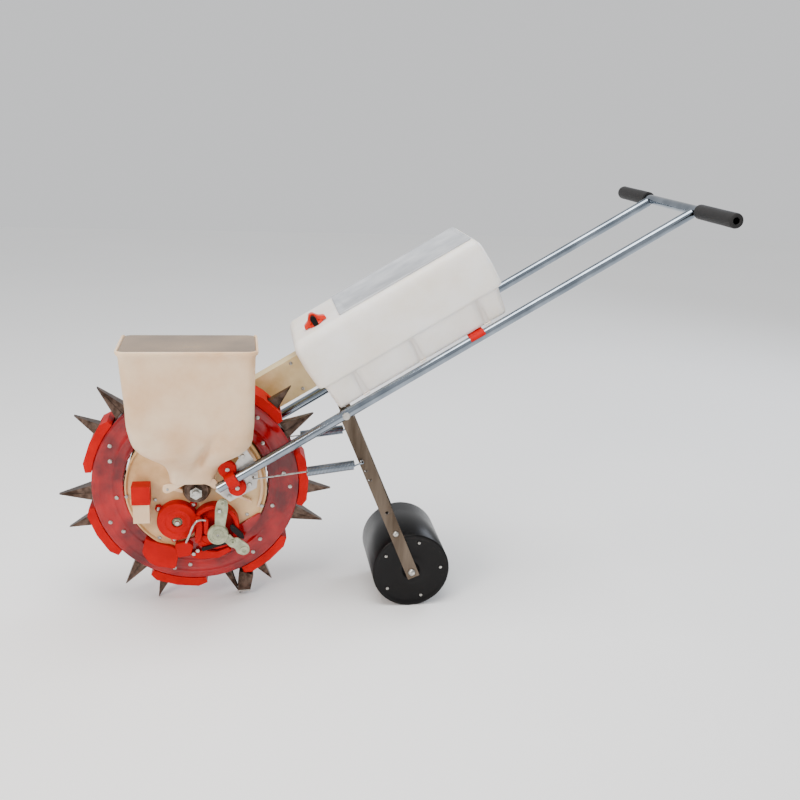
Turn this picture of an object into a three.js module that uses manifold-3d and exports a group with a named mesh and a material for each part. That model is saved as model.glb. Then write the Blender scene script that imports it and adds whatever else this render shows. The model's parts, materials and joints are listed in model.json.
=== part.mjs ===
// Push seeder: a spiked planting wheel between two tubes, a seed hopper on its near side,
// a fertilizer box lying on the tubes, a sprung press roller behind and a T handle.
// Millimetres. +X points to the rear (the handle), +Y to the far side, +Z up.
import * as THREE from 'three';
import { mergeVertices } from 'three/addons/utils/BufferGeometryUtils.js';
import Module from 'manifold-3d';

const wasm = await Module();
wasm.setup();

// ---- driving dimensions -------------------------------------------------------------
const GAP = 0.3;                 // air between faces that touch

const TIP_R = 278;               // beak tips
const STATIONS = 7;              // stations round the wheel, each with two beaks
const PITCH = 360 / STATIONS;
const PAIR = 15.4;               // degrees between the two beaks of a station
const FIRST = 270 + (PITCH - PAIR) / 2;   // first beak: two tips straddle the lowest point
const AXLE_Z = TIP_R * Math.cos(THREE.MathUtils.degToRad((PITCH - PAIR) / 2));

const HUB_R = 142;               // standing hub dishes
const DISC_R = 208;              // side discs
const DISC_BORE = HUB_R + 4;
const DISC_T = 4;
const WHEEL_HALF = 34;           // half the width over the discs
const DRUM_R = 200;
const DRUM_T = 4;
const PAD_R = 228;               // outer face of the tread pads
const PAD_HALF = 34;
const PAD_LEAD = 8;              // degrees of pad before and after the second beak
const PAD_TRAIL = 22;
const BEAK_BASE_R = 206;
const BEAK_W = 34;               // beak width along the rim
const BEAK_HALF = 15;            // half its width across the wheel
const BEAK_TIP_HALF = 5;
const SHEET = 2;
const JAW_OPEN = 14;             // the beak just past the lowest point stands open
const OPEN_STATION = 0;

const HUB_FACE = 44;             // face of a hub dish from the wheel's mid plane
const HUB_LIP = 50;
const AXLE_D = 16;
const RING_TEETH = 65;
const PINION_TEETH = 30;
const RING_TIP = HUB_R + 2.5;    // the ring gear's tooth tips, just outside the hub
const METER_R = HUB_R - 65;      // metering roller from the axle
const METER_ANGLE = 239.57;
const PINION_TIP = RING_TIP - METER_R - 0.5;

const TUBE_D = 20;
const TUBE_WALL = 1.8;
const TUBE_Y = 110;              // tube centre lines from the mid plane
const TILT = THREE.MathUtils.degToRad(31.1);
const BAR_X = 44;                // lower end of the tubes
const BAR_RISE = 22.63;
const BAR_Z = AXLE_Z + BAR_RISE;
const BAR_L = 1077;
const HANDLE_HALF = 272;
const GRIP_L = 148;
const GRIP_D = TUBE_D + 9;

const HOPPER_BACK = -52;
const HOPPER_TOP = AXLE_Z + 321.63;
const LID_T = 3.6;
const WALL = 3;

const BOX_LOW = TUBE_D / 2 + 2.5; // underside of the fertilizer box above the tube axis
const BOX_TOP = BOX_LOW + 159.5;
const BOX_U = TIP_R + 11;        // front of the box along the tubes, clear of the beak tips
const BOX_L = 397;
const BOX_W = 220;
const SADDLE_U = BOX_U + 305;
const PIVOT_U = BOX_U + 3;       // press roller fork pivot along the tubes
const LEG_L = 385.7;
const LEG_W = 26;
const LEG_T = 4;
const LEG_Y = TUBE_Y - TUBE_D / 2 - LEG_T / 2 - 2;
const ROLLER_R = 82;
const ROLLER_X = TIP_R + 165;    // roller axle behind the wheel axle
const ROLLER_HALF = LEG_Y - LEG_T / 2 - 4;
const PIN_D = 10;

// ---- helpers ------------------------------------------------------------------------
const rad = THREE.MathUtils.degToRad;
const material = (color, roughness, metalness = 0) =>
  new THREE.MeshStandardMaterial({ color, roughness, metalness });
const RED = material('#b3140f', 0.25);
const PADRED = material('#e01408', 0.4);
const CREAM = material('#e9dccb', 0.5);
const WHITE = material('#ece6de', 0.45);
const CHROME = material('#c6ccd2', 0.18, 1);
const STEEL = material('#7d7468', 0.4, 1);
const BEAKSTEEL = material('#57463d', 0.4, 1);
const PLATE = material('#cfcac2', 0.45, 0.6);
const BLACK = material('#0e0c0c', 0.3);
const FOAM = material('#262321', 0.8);
const TAUPE = material('#a6967f', 0.3);

function outward(geometry) {
  const g = new THREE.BufferGeometry();
  const source = geometry.index ? geometry : mergeVertices(geometry.clone());
  g.setAttribute('position', source.getAttribute('position').clone());
  g.setIndex(source.index.clone());
  const merged = mergeVertices(g, 1e-4);
  const p = merged.getAttribute('position');
  const raw = merged.index.array;
  const index = [];
  let volume = 0;
  const [a, b, c] = [new THREE.Vector3(), new THREE.Vector3(), new THREE.Vector3()];
  for (let i = 0; i < raw.length; i += 3) {
    const t = [raw[i], raw[i + 1], raw[i + 2]];
    if (t[0] === t[1] || t[1] === t[2] || t[0] === t[2]) continue;
    index.push(...t);
    a.fromBufferAttribute(p, t[0]); b.fromBufferAttribute(p, t[1]); c.fromBufferAttribute(p, t[2]);
    volume += a.dot(b.cross(c));
  }
  if (volume < 0) for (let i = 0; i < index.length; i += 3) {
    [index[i + 1], index[i + 2]] = [index[i + 2], index[i + 1]];
  }
  merged.setIndex(index);
  return merged;
}

function solid(geometry, matrix) {
  const g = outward(geometry);
  if (matrix) g.applyMatrix4(matrix);
  return new wasm.Manifold(new wasm.Mesh({
    numProp: 3,
    vertProperties: new Float32Array(g.getAttribute('position').array),
    triVerts: new Uint32Array(g.index.array),
  }));
}

function shell(manifold) {
  const m = manifold.getMesh();
  const g = new THREE.BufferGeometry();
  g.setAttribute('position', new THREE.BufferAttribute(new Float32Array(m.vertProperties), 3));
  g.setIndex(new THREE.BufferAttribute(new Uint32Array(m.triVerts), 1));
  return g;
}

const join = (parts) => parts.reduce((a, b) => a.add(b));
const cut = (body, tools) => tools.reduce((a, b) => a.subtract(b), body);
const at = (x, y, z) => new THREE.Matrix4().makeTranslation(x, y, z);
const turnY = (degrees) => new THREE.Matrix4().makeRotationY(-rad(degrees));

// outline in X and Z, pushed from y0 to y1
function slab(points, y0, y1) {
  const shape = new THREE.Shape(points.map(([x, z]) => new THREE.Vector2(x, z)));
  const g = new THREE.ExtrudeGeometry(shape, { depth: y1 - y0, bevelEnabled: false });
  g.rotateX(Math.PI / 2);
  g.translate(0, y1, 0);
  return g;
}
const block = (x0, x1, y0, y1, z0, z1) => new THREE.BoxGeometry(x1 - x0, y1 - y0, z1 - z0)
  .translate((x0 + x1) / 2, (y0 + y1) / 2, (z0 + z1) / 2);
const rod = (r, y0, y1, sides = 24, x = 0, z = 0) => new THREE.CylinderGeometry(r, r, y1 - y0, sides)
  .translate(x, (y0 + y1) / 2, z);
function turned(profile, sides) {
  const points = profile.map(([r, y]) => new THREE.Vector2(r, y));
  points.push(points[0].clone());
  return new THREE.LatheGeometry(points, sides);
}
function barBetween(a, b, r, sides = 12) {
  const d = new THREE.Vector3().subVectors(b, a);
  const g = new THREE.CylinderGeometry(r, r, d.length(), sides);
  const q = new THREE.Quaternion().setFromUnitVectors(new THREE.Vector3(0, 1, 0), d.clone().normalize());
  g.applyQuaternion(q);
  g.translate((a.x + b.x) / 2, (a.y + b.y) / 2, (a.z + b.z) / 2);
  return g;
}
// rounded rectangle with a fixed number of points, so that two of them can be joined by a wall
function ringOf(x0, x1, y0, y1, r, z, steps = 4) {
  const out = [];
  const corners = [[x1 - r, y1 - r, 0], [x0 + r, y1 - r, 90], [x0 + r, y0 + r, 180], [x1 - r, y0 + r, 270]];
  for (const [cx, cy, start] of corners) {
    for (let i = 0; i <= steps; i++) {
      const a = rad(start + (90 * i) / steps);
      out.push([cx + r * Math.cos(a), cy + r * Math.sin(a), z]);
    }
  }
  return out;
}
function loft(rings) {
  const n = rings[0].length;
  const positions = rings.flat(2);
  const index = [];
  for (let k = 0; k + 1 < rings.length; k++) {
    for (let i = 0; i < n; i++) {
      const [a, b] = [k * n + i, k * n + ((i + 1) % n)];
      index.push(a, b, b + n, a, b + n, a + n);
    }
  }
  const last = (rings.length - 1) * n;
  for (let i = 1; i + 1 < n; i++) {
    index.push(0, i + 1, i);
    index.push(last, last + i, last + i + 1);
  }
  const g = new THREE.BufferGeometry();
  g.setAttribute('position', new THREE.Float32BufferAttribute(positions, 3));
  g.setIndex(index);
  return g;
}

const group = new THREE.Group();
const wheel = new THREE.Group();
wheel.position.set(0, 0, AXLE_Z);
const bar = new THREE.Group();
bar.position.set(BAR_X, 0, BAR_Z);
bar.rotation.y = -TILT;
const seeder = new THREE.Group();
seeder.add(wheel, bar);

function place(parent, name, body, look) {
  const geometry = body.isBufferGeometry ? outward(body) : shell(body);
  geometry.computeVertexNormals();
  const mesh = new THREE.Mesh(geometry, look);
  mesh.name = name;
  parent.add(mesh);
  return mesh;
}
// a point along the tubes (u) and square to them (w), seen in X and Z
const onBar = (u, w) => [
  BAR_X + u * Math.cos(TILT) - w * Math.sin(TILT),
  BAR_Z + u * Math.sin(TILT) + w * Math.cos(TILT),
];

// the same for a point given from the axle
const toBar = ([x, z]) => [
  (x - BAR_X) * Math.cos(TILT) + (z - BAR_RISE) * Math.sin(TILT),
  (z - BAR_RISE) * Math.cos(TILT) - (x - BAR_X) * Math.sin(TILT),
];

// ---- the planting wheel -------------------------------------------------------------
const polar = (r, degrees) => [r * Math.cos(rad(degrees)), r * Math.sin(rad(degrees))];
for (const [side, sign] of [['near', -1], ['far', 1]]) {
  const [y0, y1] = [sign * WHEEL_HALF, sign * (WHEEL_HALF - DISC_T)];
  place(wheel, `side_disc_${side}`, turned(
    [[DISC_BORE, y0], [DISC_R - 2, y0], [DISC_R, y0 - sign * 1.5], [DISC_R, y1], [DISC_BORE, y1]], 48), RED);
}
const drumHalf = WHEEL_HALF - DISC_T - GAP;
const drumBody = solid(turned([[DRUM_R - DRUM_T, -drumHalf], [DRUM_R, -drumHalf],
  [DRUM_R, drumHalf], [DRUM_R - DRUM_T, drumHalf]], 48));
const drumHoles = [];
for (let k = 0; k < STATIONS; k++) {
  for (const offset of [0, PAIR]) {
    drumHoles.push(solid(block(-9, 9, -9, 9, DRUM_R - 20, DRUM_R + 20),
      turnY(FIRST + k * PITCH + offset - 90)));
  }
}
place(wheel, 'rim_drum', cut(drumBody, drumHoles), RED);

function gear(teeth, root, tip) {
  const points = [];
  for (let i = 0; i < teeth; i++) {
    const a = (360 * i) / teeth;
    const q = 360 / teeth;
    for (const [r, f] of [[tip, -0.15], [tip, 0.15], [root, 0.5]]) {
      points.push(polar(r, a + f * q));
    }
  }
  return points;
}
const GEAR_Y0 = -28;
const GEAR_Y1 = -20;
const RING_OUT = HUB_R + 16;
const ringSolid = solid(turned([[RING_TIP - 8, GEAR_Y0], [RING_OUT, GEAR_Y0], [RING_OUT, GEAR_Y1],
  [RING_TIP - 8, GEAR_Y1]], 40)).subtract(
  solid(slab(gear(RING_TEETH, RING_TIP + 4.5, RING_TIP), GEAR_Y0 - 1, GEAR_Y1 + 1)));
const spokes = [0, 1, 2, 3, 4, 5, 6].map((k) => solid(
  block(RING_OUT - 1.5, DRUM_R - DRUM_T - 3 * GAP, GEAR_Y0, GEAR_Y1, -5, 5), turnY(FIRST + k * PITCH + 28)));
place(wheel, 'ring_gear', join([ringSolid, ...spokes]), STEEL);

// One beak seen along the axle: the front half is fixed, the rear half is a hinged jaw.
const hollow = (r) => BEAK_TIP_HALF + ((BEAK_HALF - BEAK_TIP_HALF) * (TIP_R - r)) / (TIP_R - BEAK_BASE_R);
function taper(geometry, inset) {
  const p = geometry.getAttribute('position');
  for (let i = 0; i < p.count; i++) {
    const half = Math.max(hollow(p.getZ(i)) - inset, 1.2);
    p.setY(i, Math.sign(p.getY(i)) * half);
  }
  return geometry;
}
const half = BEAK_W / 2;
// profile: t along the rim (positive to the rear of the rolling wheel), r outward
function wedge(t0, t1, r0, tip, inset) {
  return taper(slab([[t0, r0], [t1, r0], tip], -1, 1), inset);
}
function fixedHalf() {
  const outer = solid(wedge(-half, -0.4, BEAK_BASE_R - 3, [-0.4, TIP_R], 0));
  const inner = solid(wedge(-half + SHEET + 1, 6, BEAK_BASE_R - 5, [2, TIP_R - 9], SHEET));
  return outer.subtract(inner);
}
function closedBeak() {
  const outer = solid(wedge(-half, half, BEAK_BASE_R - 3, [0, TIP_R], 0));
  const inner = solid(wedge(-half + SHEET + 1, half - SHEET - 1, BEAK_BASE_R - 5, [0, TIP_R - 14], SHEET));
  return outer.subtract(inner);
}
const JAW_T = half - 3;
const JAW_R = BEAK_BASE_R + 5;
const jawBody = solid(wedge(0.4, half, BEAK_BASE_R + 2.5, [0.4, TIP_R - 1.5], 0)).subtract(
  solid(wedge(-6, half - SHEET - 1, BEAK_BASE_R - 1, [-1, TIP_R - 10], SHEET)));
function curvedPlate(a0, a1, r0, r1, yh) {
  const points = [];
  const n = 8;
  for (let i = 0; i <= n; i++) points.push(polar(r1, a0 + ((a1 - a0) * i) / n));
  for (let i = n; i >= 0; i--) points.push(polar(r0, a0 + ((a1 - a0) * i) / n));
  return slab(points, -yh, yh);
}
// the beaks are drawn pointing up (+Z) and turned to their place on the rim
const toRim = (degrees) => new THREE.Matrix4().makeRotationY(rad(90 - degrees));
const flip = (m) => m.transform([-1, 0, 0, 0, 0, 1, 0, 0, 0, 0, 1, 0, 0, 0, 0, 1]);
const turnSolid = (m, matrix) => m.transform(matrix.elements);
const seatR = DRUM_R + GAP;
for (let k = 0; k < STATIONS; k++) {
  const a = FIRST + k * PITCH;
  // drawn with t to the right of a beak that points up, which is clockwise: mirrored to face the rear
  const seat = solid(curvedPlate(a - 5.5, a + PAIR + 5.5, seatR, BEAK_BASE_R - 1, BEAK_HALF - 1));
  const mouths = [0, PAIR].map((o) => solid(block(-7, 7, -8, 8, seatR - 4, BEAK_BASE_R + 1),
    toRim(a + o)));
  const first = turnSolid(flip(fixedHalf()), toRim(a));
  const second = turnSolid(closedBeak(), toRim(a + PAIR));
  place(wheel, `beak_pair_${k + 1}`, join([cut(seat, mouths), first, second]), BEAKSTEEL);
  const open = k === OPEN_STATION ? JAW_OPEN : 0;
  const jaw = new THREE.Group();
  const pivot = new THREE.Vector3(-JAW_T, 0, JAW_R).applyMatrix4(toRim(a));
  jaw.position.copy(pivot);
  jaw.rotation.y = rad(90 - a - open);
  wheel.add(jaw);
  place(jaw, `jaw_${k + 1}`, shell(flip(jawBody)).translate(JAW_T, 0, -JAW_R), BEAKSTEEL);
  // tread pad: a chord-faced band over the rim, with a window that the second beak passes through
  const [p0, p1] = [a + PAIR - PAD_LEAD, a + PAIR + PAD_TRAIL];
  const span = p1 - p0;
  const outline = [];
  for (const f of [0, 0.25, 0.5, 0.75, 1]) outline.push(polar(DISC_R + 1.2, p0 + span * f));
  outline.push(polar(PAD_R - 7, p1 + 0.6), polar(PAD_R, p1 - span * 0.14));
  outline.push(polar(PAD_R, p0 + span * 0.5), polar(PAD_R, p0 + span * 0.12));
  outline.push(polar(PAD_R - 7, p0 - 0.2));
  const foot = [];
  const [f0, f1] = [a + PAIR + 7, p1 - 1];
  for (const f of [0, 0.33, 0.67, 1]) foot.push(polar(DISC_R + 2, f0 + (f1 - f0) * f));
  for (const f of [1, 0.8, 0.6, 0.4, 0.2, 0]) foot.push(polar(seatR, f0 + (f1 - f0) * f));
  const window = solid(block(-half - 1.5, half + 1.5, -BEAK_HALF - 1.5, BEAK_HALF + 1.5,
    DISC_R - 6, PAD_R + 6), toRim(a + PAIR));
  place(wheel, `tread_pad_${k + 1}`, join([solid(slab(outline, -PAD_HALF, PAD_HALF)).subtract(window),
    solid(slab(foot, -drumHalf + 2, drumHalf - 2))]), PADRED);
}

// ---- axle and standing hubs ---------------------------------------------------------
const axleEnd = TUBE_Y - TUBE_D / 2 - 12;
const nut = (y0, y1, r = 13) => solid(new THREE.CylinderGeometry(r, r, y1 - y0, 6)
  .translate(0, (y0 + y1) / 2, 0));
place(wheel, 'axle', join([solid(rod(AXLE_D / 2, -axleEnd, axleEnd, 24)),
  nut(-axleEnd + 8, -axleEnd + 20), nut(axleEnd - 20, axleEnd - 8)]), STEEL);
const bossEnd = axleEnd - 20 - GAP;
const hubProfile = (s) => [[AXLE_D / 2 + GAP, -s * bossEnd], [20, -s * bossEnd], [22, -s * HUB_FACE],
  [HUB_R - 5, -s * HUB_FACE], [HUB_R - 4, -s * HUB_LIP], [HUB_R, -s * HUB_LIP],
  [HUB_R, -s * (WHEEL_HALF - DISC_T)], [HUB_R - 4, -s * (WHEEL_HALF - DISC_T)],
  [HUB_R - 5, -s * (HUB_FACE - WALL)], [AXLE_D / 2 + GAP, -s * (HUB_FACE - WALL)]];
const SHAFT_D = 14;
const fromRim = ([inset, degrees]) => polar(HUB_R - inset, degrees);
const SEED_X = [-42, 30];
const SEED_Z = [40, 72];
const seedMouth = [[SEED_X[0], SEED_Z[0]], [SEED_X[1], SEED_Z[0]], [SEED_X[1], SEED_Z[1]],
  [SEED_X[0], SEED_Z[1]]];
const [METER_X, METER_Z] = polar(METER_R, METER_ANGLE);
const standing = new THREE.Group();
standing.position.copy(wheel.position);
seeder.add(standing);
place(standing, 'hub_near', cut(solid(turned(hubProfile(1), 48)), [
  solid(rod(SHAFT_D / 2 + 1, -60, -30, 20, METER_X, METER_Z)),
  solid(slab(seedMouth, -60, -30))]), CREAM);
const feedMouth = [[10, 66.5], [22, 63.5], [10, 56], [8, 61]].map(fromRim);
place(standing, 'hub_far', solid(turned(hubProfile(-1), 48)).subtract(
  solid(slab(feedMouth, 30, 60))), CREAM);

// metering roller behind its round cover, driven by the ring gear
const COVER_R = 41;
const coverTop = -66;
const meterAt = at(METER_X, 0, METER_Z);
const coverParts = [solid(turned([[11, coverTop], [COVER_R - 4, coverTop], [COVER_R, coverTop + 4],
  [COVER_R, -HUB_FACE - GAP], [COVER_R - 3, -HUB_FACE - GAP], [COVER_R - 3, coverTop + 3.5],
  [11, coverTop + 3.5]], 28))];
for (const a of [44, 147, 261]) {
  const [x, z] = polar(COVER_R + 4, a);
  coverParts.push(solid(rod(7, -52, -HUB_FACE - GAP, 12, x, z)).subtract(
    solid(rod(COVER_R - 2, -60, -40, 28))));
}
place(standing, 'metering_cover', turnSolid(join(coverParts), meterAt), PADRED);
const meterParts = [solid(rod(SHAFT_D / 2, coverTop - 3, GEAR_Y1, 20)),
  solid(rod(COVER_R - 6, coverTop + 6, -HUB_FACE - 4, 24)),
  solid(slab(gear(PINION_TEETH, PINION_TIP - 4.4, PINION_TIP), GEAR_Y0, GEAR_Y1))];
const pockets = [];
for (let i = 0; i < 6; i++) {
  const [x, z] = polar(COVER_R - 6, 60 * i + 15);
  pockets.push(solid(rod(5, coverTop + 8, -HUB_FACE - 6, 10, x, z)));
}
place(standing, 'metering_roller', turnSolid(cut(join(meterParts), pockets), meterAt), STEEL);

// drive cover, feed lever, clean-out spout
const [DRIVE_X, DRIVE_Z] = polar(HUB_R - 55.67, -64.62);
const DRIVE_R = 48;
const dome = solid(turned([[0, -72], [DRIVE_R - 18, -71], [DRIVE_R - 5, -66],
  [DRIVE_R, -58], [DRIVE_R, -HUB_FACE - GAP], [0, -HUB_FACE - GAP]], 32), at(DRIVE_X, 0, DRIVE_Z));
place(standing, 'drive_cover', dome.subtract(
  solid(rod(COVER_R + 1.5, -90, 0, 28, METER_X, METER_Z))), PADRED);
const leverPivot = [DRIVE_X + 5, DRIVE_Z - 12];
const arm = (x, z, w) => {
  const l = Math.hypot(x, z);
  const g = solid(block(0, l, -82, -78, -w / 2, w / 2),
    turnY(THREE.MathUtils.radToDeg(Math.atan2(z, x))));
  return g.add(solid(rod(w / 2 + 1, -82, -78, 16, x, z)));
};
place(standing, 'feed_lever', turnSolid(cut(join([solid(rod(21, -86, -74, 32)), arm(13, 66, 14),
  arm(52, -40, 14)]), [solid(rod(3, -90, -70, 12, 13, 62)), solid(rod(3, -90, -70, 12, 48, -37))]),
at(leverPivot[0], 0, leverPivot[1])), WHITE);

const SPOUT_Z = [-61, -21];
// the outer corner of the spout seats on the hub's lip
const spoutX = -Math.sqrt((HUB_R - 4) ** 2 - SPOUT_Z[0] ** 2);
const SPOUT = [spoutX - 10, spoutX + 32];
const SPOUT_Y = -80;
place(standing, 'seed_spout', cut(solid(block(SPOUT[0] + 10, SPOUT[1], SPOUT_Y, -HUB_LIP - GAP,
  SPOUT_Z[0], SPOUT_Z[1])), [solid(block(SPOUT[0] + 13, SPOUT[1] - 3, SPOUT_Y + 3,
  -HUB_LIP - GAP - 3, SPOUT_Z[0] - 5, SPOUT_Z[1] + 5))]), CREAM);
place(standing, 'spout_cap', cut(solid(block(SPOUT[0] + 8, SPOUT[1] + 2, SPOUT_Y - 2.5,
  -HUB_LIP - GAP, SPOUT_Z[1] + GAP, 18)), [solid(block(SPOUT[0] + 13, SPOUT[1] - 3, SPOUT_Y + 3,
  -HUB_LIP - GAP - 4, SPOUT_Z[1] - 5, 14))]), PADRED);

// ---- tubes, handle and grips --------------------------------------------------------
const alongX = new THREE.Matrix4().makeRotationZ(-Math.PI / 2);
const CROSS_U = BAR_L + TUBE_D / 2;
const crossHole = solid(rod(TUBE_D / 2 + 2 * GAP, -400, 400, 24, CROSS_U, 0));
const pinHole = solid(rod(PIN_D / 2 + 2 * GAP, -400, 400, 16, PIVOT_U, 0));
const tubeRing = turned([[TUBE_D / 2 - TUBE_WALL, 0], [TUBE_D / 2, 0], [TUBE_D / 2, BAR_L + 6],
  [TUBE_D / 2 - TUBE_WALL, BAR_L + 6]], 20);
for (const [side, sign] of [['near', -1], ['far', 1]]) {
  const tube = solid(tubeRing, at(0, sign * TUBE_Y, 0).multiply(alongX));
  place(bar, `tube_${side}`, cut(tube, [crossHole, pinHole]), CHROME);
  const sleeve = turned([[TUBE_D / 2 + GAP, 0], [GRIP_D / 2 - 1.5, 0], [GRIP_D / 2, 2],
    [GRIP_D / 2, GRIP_L - 3], [GRIP_D / 2 - 2.5, GRIP_L], [7, GRIP_L], [7, GRIP_L - 3.5],
    [TUBE_D / 2 + GAP, GRIP_L - 3.5]], 24);
  if (sign < 0) sleeve.scale(1, -1, 1);
  sleeve.translate(CROSS_U, sign * (HANDLE_HALF - GRIP_L + 4), 0);
  place(bar, `grip_${side}`, sleeve, FOAM);
}
place(bar, 'handle_bar', turned([[TUBE_D / 2 - TUBE_WALL, -HANDLE_HALF], [TUBE_D / 2, -HANDLE_HALF],
  [TUBE_D / 2, HANDLE_HALF], [TUBE_D / 2 - TUBE_WALL, HANDLE_HALF]], 24)
  .applyMatrix4(at(CROSS_U, 0, 0)), CHROME);

// ---- plates and clamps that carry the wheel on the tubes ------------------------------
const plateOut = TUBE_Y - TUBE_D / 2 - GAP;
const PLATE_T = 4;
const plateShape = [[0.6, 45.6], [3.6, 35.3], [10, 21.3], [20.7, 8.5], [74.3, -8.5],
  [100.9, 18.4]].map(fromRim);
const bosses = [[16, 43.1], [34.8, 14], [79.7, 5.5]].map(fromRim);
const CLAMP_U = 33;
const ANCHOR = fromRim([21.8, 19.9]);
for (const [side, sign] of [['near', -1], ['far', 1]]) {
  const y = (a, b) => (sign < 0 ? [-b, -a] : [a, b]);
  const [p0, p1] = y(plateOut - PLATE_T, plateOut);
  const parts = [solid(slab(plateShape, p0, p1))];
  for (const [x, z] of bosses) {
    const [b0, b1] = y(HUB_FACE + GAP, plateOut - 1);
    parts.push(solid(rod(8, b0, b1, 16, x, z)));
  }
  place(standing, `mount_plate_${side}`, cut(join(parts),
    [solid(rod(2.4, -130, 130, 12, ANCHOR[0], ANCHOR[1]))]), PLATE);
  const [e0, e1] = y(plateOut + GAP, plateOut + 5);
  const clamp = join([solid(block(CLAMP_U - 13, CLAMP_U + 13, e0, e1, -21, 21)),
    solid(rod(13, e0, e1, 24, CLAMP_U + 1, 21)), solid(rod(13, e0, e1, 24, CLAMP_U - 1, -21)),
    solid(rod(TUBE_D / 2 + 6, CLAMP_U - 11, CLAMP_U + 11, 24), at(0, sign * TUBE_Y, 0).multiply(alongX))]);
  const keep = y(0, plateOut + GAP);
  place(bar, `pipe_clamp_${side}`, cut(clamp, [
    solid(rod(TUBE_D / 2 + GAP, -50, 200, 32), at(0, sign * TUBE_Y, 0).multiply(alongX)),
    solid(block(-60, 160, keep[0], keep[1], -80, 80))]), PADRED);
}

// ---- seed hopper --------------------------------------------------------------------
// sections from the top down: depth below the rim, x0, x1, y0 (near), corner radius
const hopperRows = [
  [10, -128, 118, -194, 14], [158, -118, 114, -190, 14], [188, -112, 109, -185, 22],
  [210, -101, 98, -174, 26], [230, -82, 76, -156, 24], [246, -66, 55, -138, 20],
  [264, -52, 46, -118, 16], [292, -50, 38, -98, 12],
].map(([down, ...row]) => [HOPPER_TOP - down, ...row]);
const rows = (inset, bottom) => hopperRows.map(([z, x0, x1, y0, r], i) => ringOf(
  x0 + inset, x1 - inset, y0 + inset, HOPPER_BACK - inset, r - inset,
  i === hopperRows.length - 1 ? z + bottom : z)).reverse();
const lipRing = (o, z) => ringOf(-133 + o, 123 - o, -198 + o, HOPPER_BACK + 4 - o, 18, z);
const LEDGE = HOPPER_TOP - 7;
const hopperOuter = solid(loft([...rows(0, 0), lipRing(1, HOPPER_TOP - 8), lipRing(0, HOPPER_TOP - 6),
  lipRing(0, HOPPER_TOP - 1), lipRing(1, HOPPER_TOP)]));
const hopperInner = solid(loft([...rows(WALL, -5), ringOf(-125, 115, -191, HOPPER_BACK - WALL, 14,
  HOPPER_TOP + 4)]));
const lidBox = (o, y1, z0, z1) => loft([ringOf(-129 + o, 119 - o, -194 + o, y1, 15, z0),
  ringOf(-129 + o, 119 - o, -194 + o, y1, 15, z1)]);
const hopperWorld = cut(hopperOuter, [hopperInner, solid(lidBox(0, 40, LEDGE, HOPPER_TOP + 5))]);
const throatBlock = (o, y0, y1) => solid(block(SEED_X[0] - o, SEED_X[1] + o, y0, y1,
  AXLE_Z + SEED_Z[0] - 3.4 - o, AXLE_Z + SEED_Z[1] + 1.6 + o));
const throatHole = throatBlock(0, HOPPER_BACK - 5, -HUB_FACE + 5);
const throat = throatBlock(4, HOPPER_BACK - 1, -HUB_FACE - GAP);
place(seeder, 'hopper', cut(hopperWorld.add(throat), [throatHole]), CREAM);
place(seeder, 'hopper_lid', solid(lidBox(0.6, HOPPER_BACK + 3.6, LEDGE + GAP, LEDGE + GAP + LID_T)), TAUPE);

// ---- fertilizer box on the tubes ------------------------------------------------------
// sections from the bottom up: w, u0, u1, half width, corner radius
const [B0, B1, BH] = [BOX_U, BOX_U + BOX_L, BOX_W / 2];
const boxRows = [
  [BOX_LOW, B0 + 2, B1 - 22, BH - 10, 12], [BOX_LOW + 3, B0 - 1, B1 - 18, BH - 6, 16],
  [BOX_LOW + 53, B0 - 5, B1 - 10, BH - 4, 18], [BOX_LOW + 57, B0 - 17, B1, BH, 20],
  [BOX_TOP - 59, B0 - 20, B1 + 1, BH, 20], [BOX_TOP - 22, B0 - 19, B1 - 1, BH - 3, 20],
  [BOX_TOP - 9, B0 - 16, B1 - 4, BH - 7, 18], [BOX_TOP - 2, B0 - 9, B1 - 9, BH - 13, 16],
  [BOX_TOP, B0 - 3, B1 - 14, BH - 18, 14],
];
// the front of the box at a height w, on the straight walls between its corners
function frontAt(w) {
  const k = Math.max(1, boxRows.findIndex((row) => row[0] >= w));
  const [lo, hi] = [boxRows[k - 1], boxRows[k]];
  return lo[1] + ((hi[1] - lo[1]) * (w - lo[0])) / (hi[0] - lo[0]);
}
const boxLoft = (inset) => loft(boxRows.map(([w, u0, u1, h, r], i) => {
  const lift = i === 0 ? inset : i === boxRows.length - 1 ? -inset : 0;
  return ringOf(u0 + inset, u1 - inset, -h + inset, h - inset, r - inset * 0.5, w + lift);
}));
const MOUTH = [B0 + 103, B1 - 24, BH - 36];
const CHUTE_Y = [HUB_LIP + 1.5, HUB_LIP + 41.5];
const CHUTE_W = [BOX_LOW + 20.5, BOX_LOW + 100];
const KNOB = [B0 + 42, -48];
const boxBody = cut(solid(boxLoft(0)), [solid(boxLoft(WALL)),
  solid(block(MOUTH[0], MOUTH[1], -MOUTH[2], MOUTH[2], BOX_TOP - 20, BOX_TOP + 20)),
  solid(block(B0 - 25, B0 + 15, CHUTE_Y[0] + 4, CHUTE_Y[1] - 4, CHUTE_W[0] + 4, BOX_LOW + 49)),
  solid(new THREE.CylinderGeometry(7, 7, 40, 20).rotateX(Math.PI / 2).translate(KNOB[0], KNOB[1], BOX_TOP))]);
place(bar, 'fertilizer_box', boxBody, WHITE);
place(bar, 'box_lid', loft([ringOf(MOUTH[0] - 12, MOUTH[1] + 12, -MOUTH[2] - 12, MOUTH[2] + 12, 12,
  BOX_TOP + GAP), ringOf(MOUTH[0] - 12, MOUTH[1] + 12, -MOUTH[2] - 12, MOUTH[2] + 12, 12,
  BOX_TOP + GAP + 3)]), WHITE);
const upZ = (r, z0, z1, n = 20) => new THREE.CylinderGeometry(r, r, z1 - z0, n).rotateX(Math.PI / 2)
  .translate(0, 0, (z0 + z1) / 2);
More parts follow.
